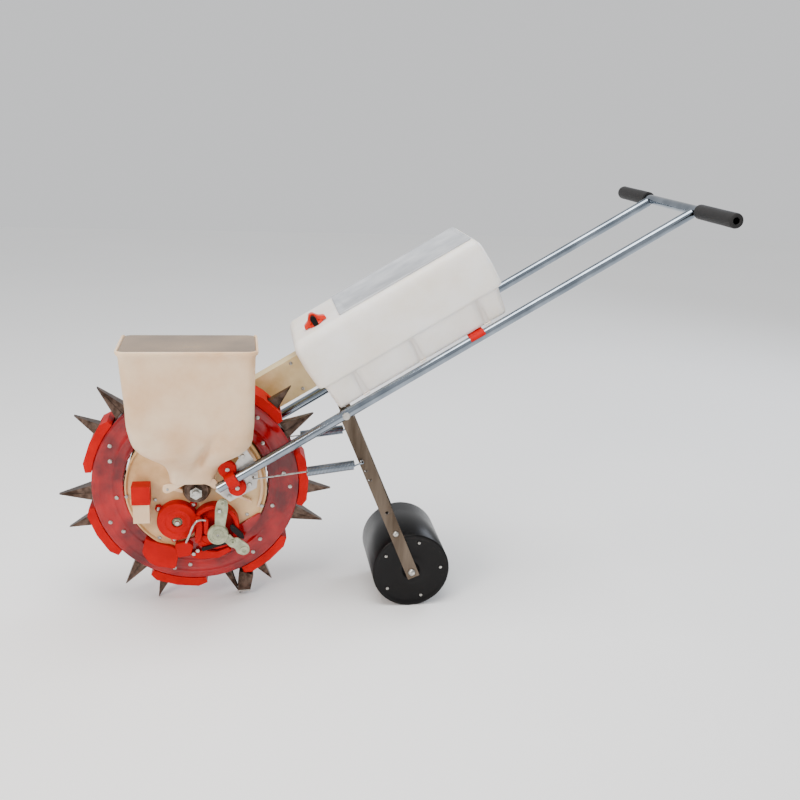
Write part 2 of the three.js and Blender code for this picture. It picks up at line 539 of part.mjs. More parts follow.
const knobBody = join([solid(upZ(6.5, -16, 4)), solid(upZ(13, GAP, 12)), solid(upZ(12, -14, -5)),
  solid(block(-24, 24, -5, 5, GAP, 26)), solid(block(-5, 5, -20, 20, GAP, 20))]);
place(bar, 'dosing_knob', turnSolid(knobBody, at(KNOB[0], KNOB[1], BOX_TOP)), PADRED);
for (const [side, sign] of [['near', -1], ['far', 1]]) {
  const band = (y0, y1, w0, w1) => solid(block(SADDLE_U - 12, SADDLE_U + 12,
    Math.min(sign * y0, sign * y1), Math.max(sign * y0, sign * y1), w0, w1));
  const strap = join([solid(rod(TUBE_D / 2 + 2, SADDLE_U - 12, SADDLE_U + 12, 24),
    at(0, sign * TUBE_Y, 0).multiply(alongX)), band(TUBE_Y - 26, TUBE_Y + 4, TUBE_D / 2 - 1, BOX_LOW - GAP)]);
  place(bar, `box_saddle_${side}`, strap.subtract(
    solid(rod(TUBE_D / 2 + GAP, 0, 900, 32), at(0, sign * TUBE_Y, 0).multiply(alongX))), PADRED);
}

// chute from the box down to the mouth in the far hub
const joinW = [CHUTE_W[0], BOX_LOW + 53, BOX_LOW + 57, CHUTE_W[1]];
const chuteEnd = [[-2.6, 71.9], [30, 66.5], [2.3, 48.4]].map(fromRim).map(toBar);
const chuteInner = [[-3, 70.3], [25.9, 65.8], [-0.5, 49.4]].map(fromRim).map(toBar);
const chuteShape = [...joinW.map((w) => [frontAt(w) - GAP, w]), [150, CHUTE_W[1]], ...chuteEnd,
  [120, CHUTE_W[0]]];
const inset = [[B0 + 11, CHUTE_W[0] + 3], [B0 + 11, CHUTE_W[1] - 3], [150, CHUTE_W[1] - 3],
  ...chuteInner, [121, CHUTE_W[0] + 3]];
const chuteBody = cut(solid(slab(chuteShape, CHUTE_Y[0], CHUTE_Y[1])),
  [solid(slab(inset, CHUTE_Y[0] + 3, CHUTE_Y[1] - 3)),
    solid(slab(feedMouth.map(toBar), CHUTE_Y[0] - 5, CHUTE_Y[0] + 10))]);
place(bar, 'feed_chute', chuteBody, CREAM);

// ---- press roller fork ----------------------------------------------------------------
const [PIVOT_X, PIVOT_Z] = onBar(PIVOT_U, 0);
const fork = new THREE.Group();
fork.position.set(PIVOT_X, 0, PIVOT_Z);
const LEAN = Math.asin((ROLLER_X - PIVOT_X) / LEG_L);
fork.rotation.y = -LEAN;
seeder.add(fork);
const rollerZ = ROLLER_R - (PIVOT_Z - LEG_L * Math.cos(LEAN));
const legL = LEG_L - rollerZ / Math.cos(LEAN);
const legHoles = [110, 133, 155];
const HOLE_X = -6;
const LEG_END = 13;
function legOutline() {
  const points = [];
  const r = LEG_W / 2;
  const top = BOX_LOW - 1.5;
  points.push([r, -20]);
  for (let i = 0; i <= 8; i++) points.push([top * Math.cos(rad(22.5 * i)), top * Math.sin(rad(22.5 * i))]);
  points.push([-r, -20]);
  points.push([-r, -legL - LEG_END], [r, -legL - LEG_END]);
  return points;
}
for (const [side, sign] of [['near', -1], ['far', 1]]) {
  const [y0, y1] = [sign * LEG_Y - LEG_T / 2, sign * LEG_Y + LEG_T / 2];
  const tools = [solid(rod(PIN_D / 2 + 2 * GAP, -200, 200, 16)),
    solid(rod(6 + 2 * GAP, -200, 200, 16, 0, -legL))];
  for (const h of legHoles) tools.push(solid(rod(3.5, -200, 200, 10, HOLE_X, -h)));
  tools.push(solid(rod(4, -200, 200, 10, 0, -237)));
  place(fork, `leg_${side}`, cut(solid(slab(legOutline(), y0, y1)), tools), STEEL);
}
const pinHead = TUBE_Y + TUBE_D / 2 + 0.6;
place(bar, 'fork_pin', join([solid(rod(PIN_D / 2, -pinHead - 1, pinHead + 1, 16)),
  solid(rod(7.5, -pinHead - 4, -pinHead, 20)), solid(rod(7.5, pinHead, pinHead + 4, 20))])
  .transform(at(PIVOT_U, 0, 0).elements), STEEL);
place(fork, 'roller_axle', join([solid(rod(6, -LEG_Y - 8, LEG_Y + 8, 16)),
  nut(-LEG_Y - 10, -LEG_Y - 2.4, 10), nut(LEG_Y + 2.4, LEG_Y + 10, 10)])
  .transform(at(0, 0, -legL).elements), STEEL);
place(fork, 'press_roller', turned([[6 + GAP + 0.2, -ROLLER_HALF], [ROLLER_R - 2, -ROLLER_HALF],
  [ROLLER_R, -ROLLER_HALF + 2], [ROLLER_R, ROLLER_HALF - 2], [ROLLER_R - 2, ROLLER_HALF],
  [6 + GAP + 0.2, ROLLER_HALF], [6 + GAP + 0.2, ROLLER_HALF - 5], [ROLLER_R - 5, ROLLER_HALF - 5],
  [ROLLER_R - 5, -ROLLER_HALF + 5], [6 + GAP + 0.2, -ROLLER_HALF + 5]], 40)
  .applyMatrix4(at(0, 0, -legL)), BLACK);

// tension springs from the front edge of the legs, with the wires that hold them
const hole = new THREE.Vector3(HOLE_X, 0, -legHoles[0]).applyMatrix4(new THREE.Matrix4()
  .makeRotationY(-LEAN)).add(new THREE.Vector3(PIVOT_X, 0, PIVOT_Z));
const anchorX = ANCHOR[0];
const anchorZ = ANCHOR[1] + AXLE_Z;
const reach = Math.hypot(hole.x - anchorX, hole.z - anchorZ);
const slope = Math.atan2(hole.z - anchorZ, hole.x - anchorX);
const SPRING_Y = LEG_Y + 15;
for (const [side, sign] of [['near', -1], ['far', 1]]) {
  const v = (x, y, z) => new THREE.Vector3(x, sign * y, z);
  const spring = new THREE.Group();
  spring.position.set(hole.x, 0, hole.z);
  spring.rotation.y = -slope;
  seeder.add(spring);
  const barrel = solid(turned([[8, -114], [10, -114], [10, -16], [2, -14], [2, -18], [8, -20]], 20),
    at(0, sign * SPRING_Y, 0).multiply(alongX));
  const hook = join([solid(barBetween(v(-17, SPRING_Y, 0), v(1.5, SPRING_Y, 0), 3, 10)),
    solid(barBetween(v(0, SPRING_Y + 1.5, 0), v(0, LEG_Y - LEG_T / 2 - 2.5, 0), 3, 12))]);
  place(spring, `spring_${side}`, barrel.add(hook), CHROME);
  const wire = new THREE.Group();
  wire.position.set(anchorX, 0, anchorZ);
  wire.rotation.y = -slope;
  seeder.add(wire);
  place(wire, `tie_wire_${side}`, join([
    solid(barBetween(v(0, plateOut - PLATE_T - 4, 0), v(0, SPRING_Y + 1.2, 0), 1.6, 8)),
    solid(barBetween(v(-1.2, SPRING_Y, 0), v(reach - 60, SPRING_Y, 0), 1.6, 8)),
    solid(barBetween(v(reach - 64, SPRING_Y, 0), v(reach - 59, SPRING_Y, 0), 3, 10))]), CHROME);
}

// ---- origin: the middle of the object's box, on the ground ----------------------------
seeder.updateMatrixWorld(true);
const box = new THREE.Box3().setFromObject(seeder, true);
seeder.position.set(-(box.min.x + box.max.x) / 2, -(box.min.y + box.max.y) / 2, -box.min.z);
group.add(seeder);

export default group;
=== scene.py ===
"""Push seeder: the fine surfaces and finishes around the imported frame. Metres, +Z up."""
import math

import bpy
import numpy as np
from mathutils import Matrix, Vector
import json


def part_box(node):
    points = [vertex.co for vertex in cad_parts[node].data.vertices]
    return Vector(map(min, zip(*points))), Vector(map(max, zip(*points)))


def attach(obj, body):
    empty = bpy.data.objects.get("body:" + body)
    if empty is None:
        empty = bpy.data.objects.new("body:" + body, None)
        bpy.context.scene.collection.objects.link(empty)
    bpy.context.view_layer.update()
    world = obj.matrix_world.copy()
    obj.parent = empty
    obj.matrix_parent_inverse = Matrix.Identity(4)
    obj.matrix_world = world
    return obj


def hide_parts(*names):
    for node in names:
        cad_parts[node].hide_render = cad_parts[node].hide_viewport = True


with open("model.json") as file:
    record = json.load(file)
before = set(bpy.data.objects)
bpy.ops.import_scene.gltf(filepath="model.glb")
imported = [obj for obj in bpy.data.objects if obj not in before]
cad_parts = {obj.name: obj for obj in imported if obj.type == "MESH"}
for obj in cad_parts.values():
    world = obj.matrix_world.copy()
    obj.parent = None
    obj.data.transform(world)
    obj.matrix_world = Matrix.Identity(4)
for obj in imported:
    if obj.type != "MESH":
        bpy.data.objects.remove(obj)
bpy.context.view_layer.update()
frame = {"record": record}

MM = 0.001


# ---- where things are: read from the frame's own boxes ------------------------------
def middle(node):
    """The middle of a node's box."""
    lo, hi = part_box(node)
    return (np.array(lo) + np.array(hi)) / 2


def pivot_of(joint):
    """The point that a joint of the record turns about."""
    rows = frame["record"]["behaviour"]["joints"]
    return np.array(next(row for row in rows if row["name"] == joint)["pos_m"])


AXLE = middle("side_disc_near") * np.array([1, 0, 1])
TILT = math.radians(31.1)
ALONG = np.array([math.cos(TILT), 0, math.sin(TILT)])
SIDE = np.array([0.0, 1.0, 0.0])
SQUARE = np.array([-math.sin(TILT), 0, math.cos(TILT)])
BAR_L = 1.077
TUBE_R = 0.010
TUBE_Y = 110            # tube centre lines from the mid plane, mm
AXLE_HEIGHT = 0.26438   # height of the axle that the hopper's heights are given with
BAR_END_U = 1087        # handle bar along the tubes, mm
HANDLE_HALF = 272       # half the handle bar's length, mm
STATIONS = 7            # planting stations round the wheel
BAR = middle("handle_bar") - (BAR_L + TUBE_R) * ALONG      # the tubes' lower ends
PITCH = 360 / STATIONS


def on_bar(u, y, w):
    """A point u along the tubes, y across and w square to them, in millimetres."""
    return BAR + MM * (u * ALONG + y * SIDE + w * SQUARE)


def from_axle(x, y, z):
    """A point given in millimetres from the wheel's axle."""
    return AXLE + MM * np.array([x, y, z], float)


# ---- camera -------------------------------------------------------------------------
def look(place, azimuth, elevation, roll, lens):
    """A camera whose back axis points at the azimuth and elevation, turned by roll."""
    a, e, r = (math.radians(v) for v in (azimuth, elevation, roll))
    back = np.array([math.sin(a) * math.cos(e), -math.cos(a) * math.cos(e), math.sin(e)])
    right = np.array([math.cos(a), math.sin(a), 0.0])
    up = np.cross(back, right)
    right, up = (math.cos(r) * right + math.sin(r) * up, -math.sin(r) * right + math.cos(r) * up)
    data = bpy.data.cameras.new("view")
    data.lens = lens
    data.sensor_width = 36
    camera = bpy.data.objects.new("view", data)
    matrix = np.eye(4)
    matrix[:3, 0], matrix[:3, 1], matrix[:3, 2], matrix[:3, 3] = right, up, back, place
    bpy.context.scene.collection.objects.link(camera)
    camera.matrix_world = Matrix(matrix.tolist())
    bpy.context.scene.camera = camera


look(AXLE + np.array([0.08734, -1.95187, 0.76741]), -9.67, 16.84, 2.30, 44.4)


# ---- surfaces -----------------------------------------------------------------------
def quads(m, n, wrap_m, wrap_n):
    """Face indices of an m by n grid, joined end to end where a direction wraps."""
    i, j = np.meshgrid(np.arange(m if wrap_m else m - 1), np.arange(n if wrap_n else n - 1),
                       indexing="ij")
    i2, j2 = (i + 1) % m, (j + 1) % n
    return np.stack([i * n + j, i * n + j2, i2 * n + j2, i2 * n + j], -1).reshape(-1, 4)


def shell(grid, wrap_m=False, cap=True):
    """A closed surface: rings of points joined in order, the ends joined up or capped."""
    grid = np.asarray(grid, float)
    m, n = grid.shape[:2]
    points = grid.reshape(-1, 3)
    faces = [list(f) for f in quads(m, n, wrap_m, True).tolist()]
    if cap and not wrap_m:
        faces.append(list(range(n))[::-1])
        faces.append([(m - 1) * n + k for k in range(n)])
    q = np.array([f for f in faces if len(f) == 4])
    a, b, c, d = (points[q[:, k]] - points.mean(0) for k in range(4))
    volume = np.einsum("ij,ij->i", a, np.cross(b, c)).sum() + np.einsum(
        "ij,ij->i", a, np.cross(c, d)).sum()
    if cap and not wrap_m:
        for face in faces[-2:]:
            loop = points[face] - points.mean(0)
            volume += np.einsum("ij,ij->i", np.broadcast_to(loop[0], loop[1:-1].shape),
                                np.cross(loop[1:-1], loop[2:])).sum()
    if volume < 0:
        faces = [f[::-1] for f in faces]
    return points, faces


def piece(name, shells, look_of, body, replaces=(), sharp=38, bevel=0.0):
    """One object from closed surfaces, smooth except at edges sharper than the angle."""
    points, faces, base = [], [], 0
    for p, f in shells:
        points.append(p)
        faces += [[k + base for k in face] for face in f]
        base += len(p)
    mesh = bpy.data.meshes.new(name)
    mesh.from_pydata(np.concatenate(points).tolist(), [], faces)
    mesh.polygons.foreach_set("use_smooth", np.ones(len(mesh.polygons), bool))
    mesh.set_sharp_from_angle(angle=math.radians(sharp))
    mesh.materials.append(look_of)
    thing = bpy.data.objects.new(name, mesh)
    bpy.context.scene.collection.objects.link(thing)
    if bevel:
        edge = thing.modifiers.new("edge", "BEVEL")
        edge.width, edge.segments, edge.limit_method = bevel, 2, "ANGLE"
        edge.angle_limit = math.radians(sharp)
    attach(thing, body)
    if replaces:
        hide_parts(*replaces)
    return thing


def axes_of(direction):
    """Two unit vectors square to a direction and to each other."""
    d = np.asarray(direction, float)
    d = d / np.linalg.norm(d)
    helper = np.array([0, 0, 1.0]) if abs(d[2]) < 0.9 else np.array([1.0, 0, 0])
    e = np.cross(helper, d)
    e /= np.linalg.norm(e)
    return d, e, np.cross(d, e)


def turned(profile, origin, direction, sides=64, closed=True):
    """Radius and height pairs (mm) carried round a line; closed joins last to first."""
    d, e, f = axes_of(direction)
    t = np.linspace(0, 2 * np.pi, sides, endpoint=False)
    r, h = (np.array(profile, float) * MM).T
    circle = np.cos(t)[:, None] * e + np.sin(t)[:, None] * f
    grid = np.asarray(origin) + r[:, None, None] * circle + h[:, None, None] * d
    return shell(grid, wrap_m=closed)


def pipe(a, b, outer, inner, sides=48, edge=0.6):
    """A round tube between two points with softened ends; radii in mm."""
    length = np.linalg.norm(np.asarray(b) - a) / MM
    return turned([(inner, edge), (inner + edge, 0), (outer - edge, 0), (outer, edge),
                   (outer, length - edge), (outer - edge, length), (inner + edge, length),
                   (inner, length - edge)], a, np.asarray(b) - a, sides)


def carried(path, radius, sides=10):
    """A round section carried along a path of points, turned without twist."""
    path = np.asarray(path, float)
    tangent = np.gradient(path, axis=0)
    tangent /= np.linalg.norm(tangent, axis=1)[:, None]
    helper = np.where(np.abs(tangent[:, 1:2]) < 0.9, np.array([[0, 1.0, 0]]), np.array([[1.0, 0, 0]]))
    e = np.cross(helper, tangent)
    e /= np.linalg.norm(e, axis=1)[:, None]
    f = np.cross(tangent, e)
    t = np.linspace(0, 2 * np.pi, sides, endpoint=False)
    grid = path[:, None] + radius * (np.cos(t)[None, :, None] * e[:, None]
                                     + np.sin(t)[None, :, None] * f[:, None])
    return shell(grid)


def smooth_path(points, steps=10):
    """Catmull-Rom curve through the points."""
    p = np.asarray(points, float)
    p = np.vstack([2 * p[0] - p[1], p, 2 * p[-1] - p[-2]])
    t = np.linspace(0, 1, steps, endpoint=False)[:, None]
    out = [0.5 * (2 * p[k + 1] + (p[k + 2] - p[k]) * t + (2 * p[k] - 5 * p[k + 1] + 4 * p[k + 2]
           - p[k + 3]) * t ** 2 + (3 * p[k + 1] - p[k] - 3 * p[k + 2] + p[k + 3]) * t ** 3)
           for k in range(len(p) - 3)]
    return np.vstack(out + [p[-2:-1]])


def screw(centre, normal, radius=3.4, height=2.2, sides=20):
    """A pan head screw: a low dome with a cross recess left to the shading."""
    r, h = radius, height
    return turned([(r * 0.98, -0.4), (r, h * 0.35), (r * 0.92, h * 0.7), (r * 0.6, h * 0.95),
                   (r * 0.32, h), (r * 0.26, h * 0.55), (0.05, h * 0.5)], centre, normal, sides,
                  closed=False)


def hexagon(centre, normal, across, height):
    """A hexagon nut or bolt head with a chamfered top."""
    r = across / math.sqrt(3)
    return turned([(r, 0), (r, height - 0.8), (r * 0.88, height), (r * 0.3, height)],
                  centre, normal, 6, closed=False)


def filleted(points, r, steps=6):
    """A closed outline whose corners are quadratic curves starting r before each corner."""
    p = np.asarray(points, float)
    before, after = np.roll(p, 1, 0) - p, np.roll(p, -1, 0) - p
    la, lb = (np.linalg.norm(v, axis=1, keepdims=True) for v in (before, after))
    a, b = p + before / la * np.minimum(r, la * 0.45), p + after / lb * np.minimum(r, lb * 0.45)
    t = np.linspace(0, 1, steps)[None, :, None]
    return ((1 - t) ** 2 * a[:, None] + 2 * t * (1 - t) * p[:, None]
            + t ** 2 * b[:, None]).reshape(-1, 2)


def arc(r, a0, a1, steps=24, cx=0.0, cz=0.0):
    """Points of a circular arc in X and Z, angles in degrees."""
    a = np.radians(np.linspace(a0, a1, steps))
    return np.stack([cx + r * np.cos(a), cz + r * np.sin(a)], 1)


def plate(outline, y0, y1):
    """An outline in X and Z from the axle pushed along Y from y0 to y1, in millimetres."""
    o = np.asarray(outline, float)
    rings = [np.stack([o[:, 0], np.full(len(o), float(y)), o[:, 1]], 1) for y in (y0, y1)]
    return shell(AXLE + MM * np.array(rings))


def rounded(count, a, b, r, steep=6):
    """Points of a rounded rectangle, half sizes a and b, corner radius r, evenly by index."""
    side = count // 4
    out = []
    for q in range(4):
        turn = math.radians(90 * q)
        n = side - steep
        s = np.linspace(0, 1, n, endpoint=False)
        t = np.linspace(0, math.pi / 2, steep, endpoint=False)
        long, short = (b, a) if q % 2 == 0 else (a, b)
        line = np.stack([np.full(n, short), -long + r + s * 2 * (long - r)], 1)
        arc = np.stack([short - r + r * np.cos(t), long - r + r * np.sin(t)], 1)
        both = np.vstack([line, arc])
        c, w = math.cos(turn), math.sin(turn)
        out.append(both @ np.array([[c, w], [-w, c]]))
    return np.vstack(out)


# ---- materials ----------------------------------------------------------------------
def linear(hexa):
    """An sRGB hex value as linear colour."""
    v = np.array([int(hexa[k:k + 2], 16) for k in (1, 3, 5)]) / 255
    v = np.where(v <= 0.04045, v / 12.92, ((v + 0.055) / 1.055) ** 2.4)
    return (*v.tolist(), 1.0)


def add(tree, kind, settings=None, links=None, **values):
    """Add a node: settings are its properties, values its inputs, links input to socket."""
    node = tree.nodes.new(kind)
    for key, value in (settings or {}).items():
        setattr(node, key, value)
    for key, value in values.items():
        node.inputs[key.replace("_", " ")].default_value = value
    for key, socket in (links or {}).items():
        tree.links.new(socket, node.inputs[key])
    return node


def material(name, colours, rough, metallic=0.0, ior=1.5, scale_mm=20.0, stretch=(1, 1, 1),
             bump=0.0, bump_mm=2.0, rough_spread=0.06, coat=0.0, subsurface=0.0, spread=(0.35, 0.65),
             specular=0.5):
    """A finish: colour and roughness wander with noise of a real size, over a fine bump."""
    mat = bpy.data.materials.new(name)
    mat.use_nodes = True
    tree = mat.node_tree
    tree.nodes.clear()
    where = add(tree, "ShaderNodeTexCoord")
    mapped = add(tree, "ShaderNodeMapping", links={"Vector": where.outputs["Object"]}, Scale=stretch)
    noise = add(tree, "ShaderNodeTexNoise", links={"Vector": mapped.outputs[0]},
                Scale=1000 / scale_mm, Detail=4.0, Roughness=0.55)
    ramp = add(tree, "ShaderNodeValToRGB", links={"Fac": noise.outputs["Fac"]})
    ramp.color_ramp.elements[0].position, ramp.color_ramp.elements[1].position = spread
    ramp.color_ramp.elements[0].color = linear(colours[0])
    ramp.color_ramp.elements[1].color = linear(colours[1])
    gloss = add(tree, "ShaderNodeMapRange", links={"Value": noise.outputs["Fac"]},
                To_Min=max(rough - rough_spread, 0.02), To_Max=rough + rough_spread)
    shader = add(tree, "ShaderNodeBsdfPrincipled", links={
        "Base Color": ramp.outputs["Color"], "Roughness": gloss.outputs["Result"]},
        Metallic=metallic, IOR=ior)
    shader.inputs["Specular IOR Level"].default_value = specular
    if coat:
        shader.inputs["Coat Weight"].default_value = coat
        shader.inputs["Coat Roughness"].default_value = 0.06
    if subsurface:
        shader.inputs["Subsurface Weight"].default_value = subsurface
        shader.inputs["Subsurface Radius"].default_value = (0.012, 0.009, 0.006)
        shader.inputs["Subsurface Scale"].default_value = 1.0
    if bump:
        fine = add(tree, "ShaderNodeTexNoise", links={"Vector": mapped.outputs[0]},
                   Scale=1000 / bump_mm, Detail=3.0)
        relief = add(tree, "ShaderNodeBump", links={"Height": fine.outputs["Fac"]},
                     Strength=0.35, Distance=bump * MM)
        tree.links.new(relief.outputs["Normal"], shader.inputs["Normal"])
    out = add(tree, "ShaderNodeOutputMaterial", links={"Surface": shader.outputs["BSDF"]})
    out.is_active_output = True
    return mat


# bright plated steel: sharp cool reflections with faint polishing marks along the tube
CHROME = material("chrome plated steel tube", ("#737c86", "#929ba5"), 0.1, 1.0, scale_mm=60,
                  bump=0.004, bump_mm=9, rough_spread=0.02)
# zinc plated fasteners: bright, a little warmer and softer than chrome
ZINC = material("zinc plated steel", ("#9d9b95", "#c4c2bc"), 0.28, 1.0, scale_mm=6)
# hot rolled flat bar, brushed: warm brown-grey with long streaks
BARSTEEL = material("brushed flat bar steel", ("#4b4036", "#6e6256"), 0.34, 1.0, scale_mm=30,
                    stretch=(1, 1, 0.12), bump=0.04, bump_mm=3)
# pressed sheet steel, oiled and worn by soil: dark brown with paler patches
BEAK = material("worn pressed sheet steel", ("#35271f", "#66544a"), 0.34, 0.9, scale_mm=14,
                bump=0.06, bump_mm=4, rough_spread=0.12)
# coated steel plate: pale grey, satin
PLATE = material("coated steel plate", ("#a8a6a4", "#cfccc8"), 0.36, 0.6, scale_mm=30, bump=0.03)
# moulded ABS, opaque: saturated red with a broad soft gloss
RED = material("moulded red ABS", ("#a80000", "#bc0000"), 0.46, ior=1.45, scale_mm=40, bump=0.03,
               bump_mm=3, specular=0.14)
# glossy red polycarbonate, opaque here: painted depth and glow, random patches of deep red and brighter
# red stand in for the shade where the disc is thick and the light that passes through it
DISC_RED_PAINTED_GLOW = material("red polycarbonate with painted glow", ("#560008", "#a4000a"), 0.14, ior=1.5, scale_mm=60,
                bump=0.06, bump_mm=24, spread=(0.34, 0.66), specular=0.45)
# natural polyethylene, blow moulded: warm cream, milky, softly glossy
CREAM = material("natural cream polyethylene", ("#dcb187", "#ecccaa"), 0.42, ior=1.51, scale_mm=90,
                 bump=0.12, bump_mm=18, subsurface=0.25)
# white polyethylene, blow moulded: milky, uneven wall
WHITE = material("white polyethylene", ("#efe4d6", "#fbf5ee"), 0.40, ior=1.51, scale_mm=110,
                 bump=0.12, bump_mm=22, subsurface=0.3)
# smoked acrylic sheet: flat taupe with clear reflections
SMOKE = material("taupe acrylic sheet", ("#6b5338", "#8c7252"), 0.2, ior=1.49, scale_mm=120,
                 rough_spread=0.03, coat=0.3)
# clear film over white: pale grey
FILM = material("pale grey polycarbonate lid", ("#a3a7ad", "#c3c6ca"), 0.22, ior=1.58, scale_mm=70,
                coat=0.2)
# black polypropylene: deep gloss with slight waviness
BLACK = material("black polypropylene", ("#020101", "#060404"), 0.32, ior=1.49, scale_mm=60,
                 bump=0.05, bump_mm=14, specular=0.2)
# closed cell foam rubber: matt with fine pores
FOAM = material("black foam rubber", ("#060505", "#131010"), 0.7, ior=1.5, scale_mm=8,
                bump=0.25, bump_mm=1.2)
# polypropylene of the hub dishes: tan, a little darker than the hopper; the tone is darkened and browned
# past its own tan as painted shade of the recessed dish, and its deep brown patches are painted shade too
HUB_TAN_AND_SHADE = material("tan polypropylene with painted dish shade", ("#bf935c", "#e0bd8c"), 0.4, ior=1.49, scale_mm=60, bump=0.08,
               bump_mm=14, spread=(0.3, 0.62))
# painted sheet steel of the chute: yellowish cream, satin
CHUTE = material("cream painted sheet steel", ("#c9ac70", "#ead6a2"), 0.34, scale_mm=70, bump=0.04,
                 bump_mm=9)
# orange red knob, moulded and glossy
KNOB_RED = material("moulded orange-red ABS", ("#c21a02", "#d62a06"), 0.3, scale_mm=20, specular=0.3)
# acetal gear plastic: pale grey-green, satin
ACETAL = material("off-white acetal", ("#858a70", "#b0b396"), 0.36, ior=1.48, scale_mm=12, bump=0.03)

for node, finish in {
        "rim_drum": DISC_RED_PAINTED_GLOW, "ring_gear": DISC_RED_PAINTED_GLOW, "metering_roller": ACETAL, "axle": ZINC,
        "fork_pin": ZINC, "roller_axle": ZINC, "leg_near": BARSTEEL, "leg_far": BARSTEEL,
        "mount_plate_near": PLATE, "mount_plate_far": PLATE, "pipe_clamp_near": RED,
        "pipe_clamp_far": RED, "box_saddle_near": RED, "box_saddle_far": RED, "spout_cap": RED,
        "seed_spout": CREAM, "feed_chute": CHUTE, "hub_far": HUB_TAN_AND_SHADE, "tie_wire_near": ZINC,
        "tie_wire_far": ZINC, "dosing_knob": RED, "drive_cover": RED}.items():
    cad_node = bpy.data.objects[node]
    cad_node.data.materials.clear()
    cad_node.data.materials.append(finish)
for k in range(1, STATIONS + 1):
    for node, finish in ((f"beak_pair_{k}", BEAK), (f"jaw_{k}", BEAK), (f"tread_pad_{k}", RED)):
        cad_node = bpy.data.objects[node]
        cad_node.data.materials.clear()
        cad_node.data.materials.append(finish)

# ---- tubes, handle bar and grips ------------------------------------------------------
for side, s in (("near", -1), ("far", 1)):
    y = s * TUBE_Y
    piece(f"tube_skin_{side}", [pipe(on_bar(0, y, 0), on_bar(1077, y, 0), 10, 8.2)],
          CHROME, "frame", [f"tube_{side}"])
    grip = [(14.4, 2), (14.4, 60), (14.2, 100), (14.4, 143), (13.6, 146.5), (11.5, 148), (7.4, 148),
            (6.6, 147), (6.6, 144), (10.2, 144), (10.2, 0), (13.2, 0), (14.2, 0.6)]
    piece(f"grip_skin_{side}", [turned(grip, on_bar(BAR_END_U, s * 128, 0), s * SIDE, 48)],
          FOAM, "frame", [f"grip_{side}"])
bar_ends = [on_bar(BAR_END_U, s * HANDLE_HALF, 0) for s in (-1, 1)]
piece("handle_bar_skin", [pipe(*bar_ends, 10, 8.2)],
      CHROME, "frame", ["handle_bar"])

# ---- planting wheel -------------------------------------------------------------------
for side, s in (("near", -1), ("far", 1)):
    face = [(146, 30), (146, 34.8), (148, 35.6), (151, 35.4), (152.5, 34.2), (166, 34), (167, 34.7),
            (170, 34.7), (171, 34), (190, 34), (192, 35), (196, 35.4), (203, 35.3), (206.5, 34.8),
            (208, 33.4), (208, 31), (207, 30.2)]
    piece(f"disc_skin_{side}", [turned(face, AXLE, s * SIDE, 144)], DISC_RED_PAINTED_GLOW, "seed_wheel",
          [f"side_disc_{side}"], sharp=50)
    # radius and angle after each station's first screw; the outermost row is on the near disc only
    rows_of = ((161, 0), (178, 25), (190, 15.6))
    spots = [(r, math.radians(188.1 + PITCH * k + o)) for k in range(STATIONS) for r, o in rows_of]
    heads = [screw(from_axle(r * math.cos(a), s * 34.1, r * math.sin(a)), s * SIDE, 4.2, 2.6)
             for r, a in spots if r != 190 or s < 0]
    piece(f"disc_screws_{side}", heads, ZINC, "seed_wheel")

# ---- standing hub ---------------------------------------------------------------------
dish = [(24, 44.6), (60, 44.2), (110, 44.2), (118, 45.4),
        (126, 45.4), (131, 44.4), (136, 45), (138, 49), (139.5, 50), (141, 49.8), (142, 48.4),
        (142, 30.4), (141.5, 30), (138.4, 30), (138, 30.4), (136, 41.2), (60, 41.2), (24, 41.2)]
boss = [(8.3, 67), (20, 67), (21.5, 65), (23, 47), (23.6, 44.8), (23.6, 41.2), (8.3, 41.2)]
piece("hub_boss", [turned(boss, AXLE, -SIDE, 64)], BEAK, "frame")
# the near dish wears the tan finish with the painted shade of its recess
piece("hub_skin_near", [turned(dish, AXLE, -SIDE, 144)], HUB_TAN_AND_SHADE, "frame",
      ["hub_near"], sharp=40)

# ---- press roller -----------------------------------------------------------------------
ROLLER = middle("roller_axle")
drum = [(8, 84), (14, 84), (16, 88), (20, 89.4), (30, 88), (34, 86.6), (70, 86.6), (74, 88.4),
        (78, 90), (80.6, 89.6), (82, 88)]
drum = drum + [(r, -h) for r, h in drum[::-1]]
piece("roller_skin", [turned(drum, ROLLER, SIDE, 128)], BLACK, "roller_body",
      ["press_roller"], sharp=50)
heads = []
for s in (-1, 1):
    for k in range(5):
        a = math.radians(72 * k + 4)
        heads.append(screw(ROLLER + MM * np.array([64 * math.cos(a), s * 86.8, 64 * math.sin(a)]),
                           s * SIDE, 3.2, 2.2))
piece("roller_screws", heads, ZINC, "roller_body")


# ---- seed hopper ------------------------------------------------------------------------
HOPPER_ROWS = np.array([
    # height, x low, x high, y near, corner radius
    [292, -50, 38, -98, 12], [304, -50, 38.5, -102, 14], [318, -52, 43, -112, 20],
    [336, -59, 51, -126, 28], [352, -72, 65, -142, 34], [372, -93, 88, -164, 38],
    [396, -108, 105, -180, 34], [428, -118, 113, -190, 26], [480, -121.5, 115.5, -191.5, 20],
    [540, -126, 117, -193, 17], [572, -128, 118, -194, 15]])


def rows_at(heights, table):
    """The table read at other heights along a curve with no corners (cubic Hermite)."""
    z = table[:, 0]
    slope = np.gradient(table[:, 1:], z, axis=0)
    k = np.clip(np.searchsorted(z, heights, "right") - 1, 0, len(z) - 2)
    h = (z[k + 1] - z[k])[:, None]
    t = ((heights - z[k]) / (z[k + 1] - z[k]))[:, None]
    p0, p1, m0, m1 = table[k, 1:], table[k + 1, 1:], slope[k] * h, slope[k + 1] * h
    return ((2 * t ** 3 - 3 * t ** 2 + 1) * p0 + (t ** 3 - 2 * t ** 2 + t) * m0
            + (-2 * t ** 3 + 3 * t ** 2) * p1 + (t ** 3 - t ** 2) * m1)


